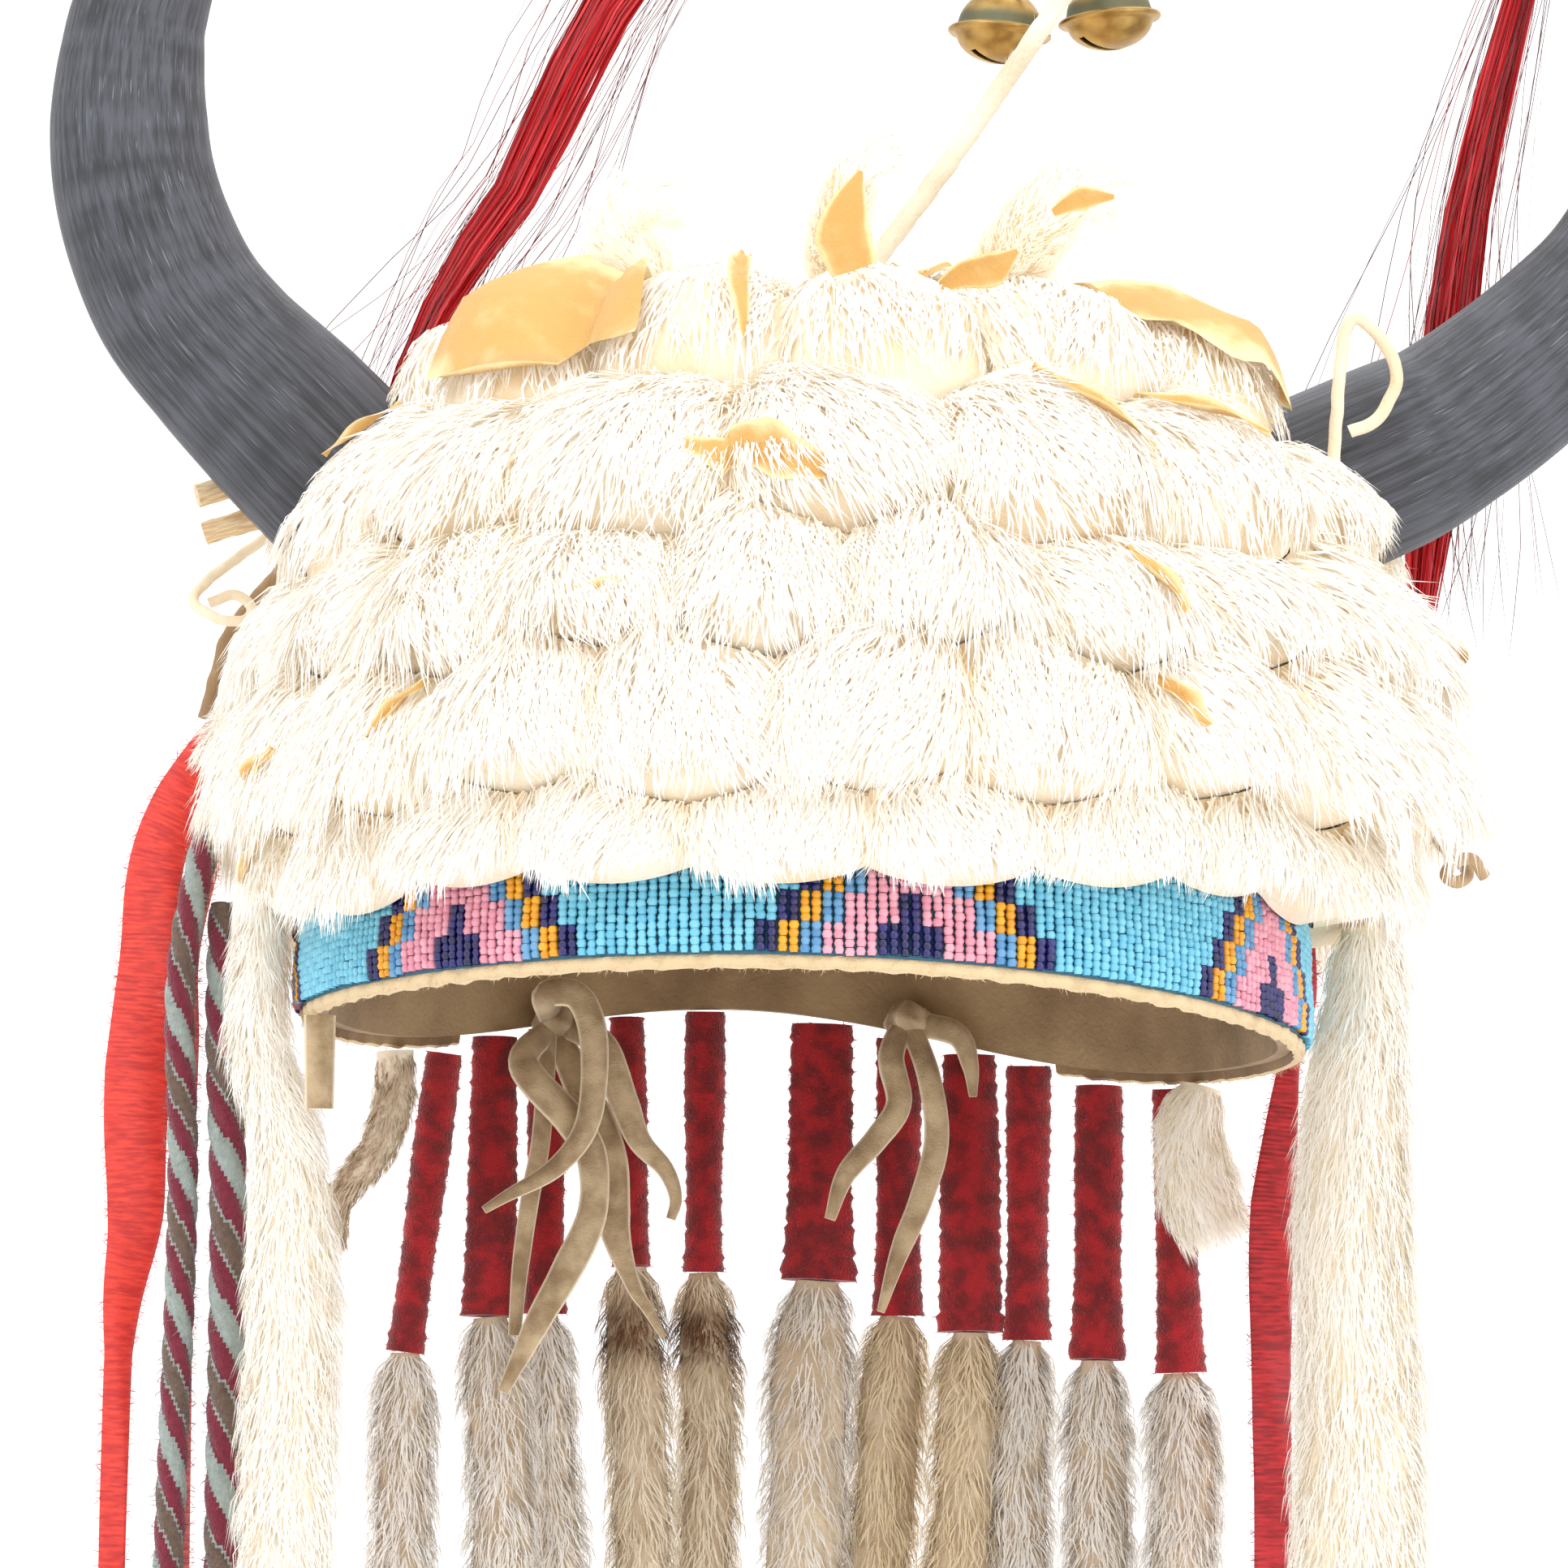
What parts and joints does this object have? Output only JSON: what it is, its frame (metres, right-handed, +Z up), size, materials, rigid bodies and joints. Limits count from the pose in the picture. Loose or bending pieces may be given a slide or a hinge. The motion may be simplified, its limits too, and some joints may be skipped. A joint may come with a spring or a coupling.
{
  "type": "split horn headdress",
  "caption": "Fur-covered skull cap with beaded brow band, split horns, horsehair plumes, bells and long wool-wrapped fur drops.",
  "frame": {"origin": "centre of the head opening, level with the lower rim of the brow band", "axes": "+Z up through the crown; the front of the brow band faces -Y; +X is the wearer's left"},
  "size_m": [0.3174, 0.2355, 0.3632],
  "materials": {
    "cap": "brain-tanned hide, matt and napped",
    "brow_band": "brain-tanned hide, matt and napped",
    "beadwork": "glossy opaque seed beads in stepped triangles",
    "fur_tier_crown": "white winter fur, deep and soft",
    "fur_tier_upper": "white winter fur, deep and soft",
    "fur_tier_middle": "white winter fur, deep and soft",
    "fur_tier_lower": "white winter fur, deep and soft",
    "fur_tier_brow": "white winter fur, deep and soft",
    "horn_left": "polished dark horn with lengthwise grain",
    "horn_right": "polished dark horn with lengthwise grain",
    "plume_left": "dyed red horsehair, glossy strands",
    "plume_right": "dyed red horsehair, glossy strands",
    "crown_rod": "white hide, matt",
    "bell_tie": "white hide, matt",
    "bell_left": "aged brass with green-grey patina",
    "bell_right": "aged brass with green-grey patina",
    "crown_curl_left": "white winter fur, deep and soft",
    "crown_curl_front": "white winter fur, deep and soft",
    "crown_curl_right": "white winter fur, deep and soft",
    "wrap_01": "felted red wool cloth",
    "tail_01": "white tail fur with yellowish tips",
    "wrap_02": "felted red wool cloth",
    "tail_02": "white tail fur with yellowish tips",
    "wrap_03": "felted red wool cloth",
    "tail_03": "white tail fur with yellowish tips",
    "wrap_04": "felted red wool cloth",
    "tail_04": "white tail fur with yellowish tips",
    "wrap_05": "felted red wool cloth",
    "tail_05": "white tail fur with yellowish tips",
    "wrap_06": "felted red wool cloth",
    "tail_06": "white tail fur with yellowish tips",
    "wrap_07": "felted red wool cloth",
    "tail_07": "white tail fur with yellowish tips",
    "wrap_08": "felted red wool cloth",
    "tail_08": "white tail fur with yellowish tips",
    "wrap_09": "felted red wool cloth",
    "tail_09": "white tail fur with yellowish tips",
    "wrap_10": "felted red wool cloth",
    "tail_10": "white tail fur with yellowish tips",
    "wrap_11": "felted red wool cloth",
    "tail_11": "white tail fur with yellowish tips",
    "side_drop_left": "white winter fur, deep and soft",
    "side_drop_right": "white winter fur, deep and soft",
    "ribbon_left": "ribbed ribbon with frayed edges",
    "ribbon_salmon": "ribbed ribbon with frayed edges",
    "ribbon_right": "ribbed ribbon with frayed edges",
    "yarn_rope_outer": "twisted wool yarn",
    "yarn_rope_inner": "twisted wool yarn",
    "curly_thong": "white hide, matt",
    "hide_strap": "brain-tanned hide, matt and napped",
    "horn_loop": "white hide, matt",
    "thong_knot": "brain-tanned hide, matt and napped",
    "horn_peg_upper": "stiff rawhide",
    "horn_peg_lower": "stiff rawhide",
    "yarn_tuft": "loose grey-green wool yarn",
    "fur_paw": "white winter fur, deep and soft",
    "curled_fur": "white tail fur with yellowish tips",
    "hide_flap": "brain-tanned hide, matt and napped",
    "tie_thongs_left": "brain-tanned hide, matt and napped",
    "tie_thongs_right": "brain-tanned hide, matt and napped"
  },
  "bodies": {
    "root": {"cap": "cap", "brow_band": "brow_band", "beadwork": "beadwork", "fur_tier_crown": "fur_tier_crown", "fur_tier_upper": "fur_tier_upper", "fur_tier_middle": "fur_tier_middle", "fur_tier_lower": "fur_tier_lower", "fur_tier_brow": "fur_tier_brow", "horn_left": "horn_left", "horn_right": "horn_right", "plume_left": "plume_left", "plume_right": "plume_right", "crown_rod": "crown_rod", "bell_tie": "bell_tie", "bell_left": "bell_left", "bell_right": "bell_right", "crown_curl_left": "crown_curl_left", "crown_curl_front": "crown_curl_front", "crown_curl_right": "crown_curl_right", "wrap_01": "wrap_01", "tail_01": "tail_01", "wrap_02": "wrap_02", "tail_02": "tail_02", "wrap_03": "wrap_03", "tail_03": "tail_03", "wrap_04": "wrap_04", "tail_04": "tail_04", "wrap_05": "wrap_05", "tail_05": "tail_05", "wrap_06": "wrap_06", "tail_06": "tail_06", "wrap_07": "wrap_07", "tail_07": "tail_07", "wrap_08": "wrap_08", "tail_08": "tail_08", "wrap_09": "wrap_09", "tail_09": "tail_09", "wrap_10": "wrap_10", "tail_10": "tail_10", "wrap_11": "wrap_11", "tail_11": "tail_11", "side_drop_left": "side_drop_left", "side_drop_right": "side_drop_right", "ribbon_left": "ribbon_left", "ribbon_salmon": "ribbon_salmon", "ribbon_right": "ribbon_right", "yarn_rope_outer": "yarn_rope_outer", "yarn_rope_inner": "yarn_rope_inner", "curly_thong": "curly_thong", "hide_strap": "hide_strap", "horn_loop": "horn_loop", "thong_knot": "thong_knot", "horn_peg_upper": "horn_peg_upper", "horn_peg_lower": "horn_peg_lower", "yarn_tuft": "yarn_tuft", "fur_paw": "fur_paw", "curled_fur": "curled_fur", "hide_flap": "hide_flap", "tie_thongs_left": "tie_thongs_left", "tie_thongs_right": "tie_thongs_right"}
  },
  "joints": []
}
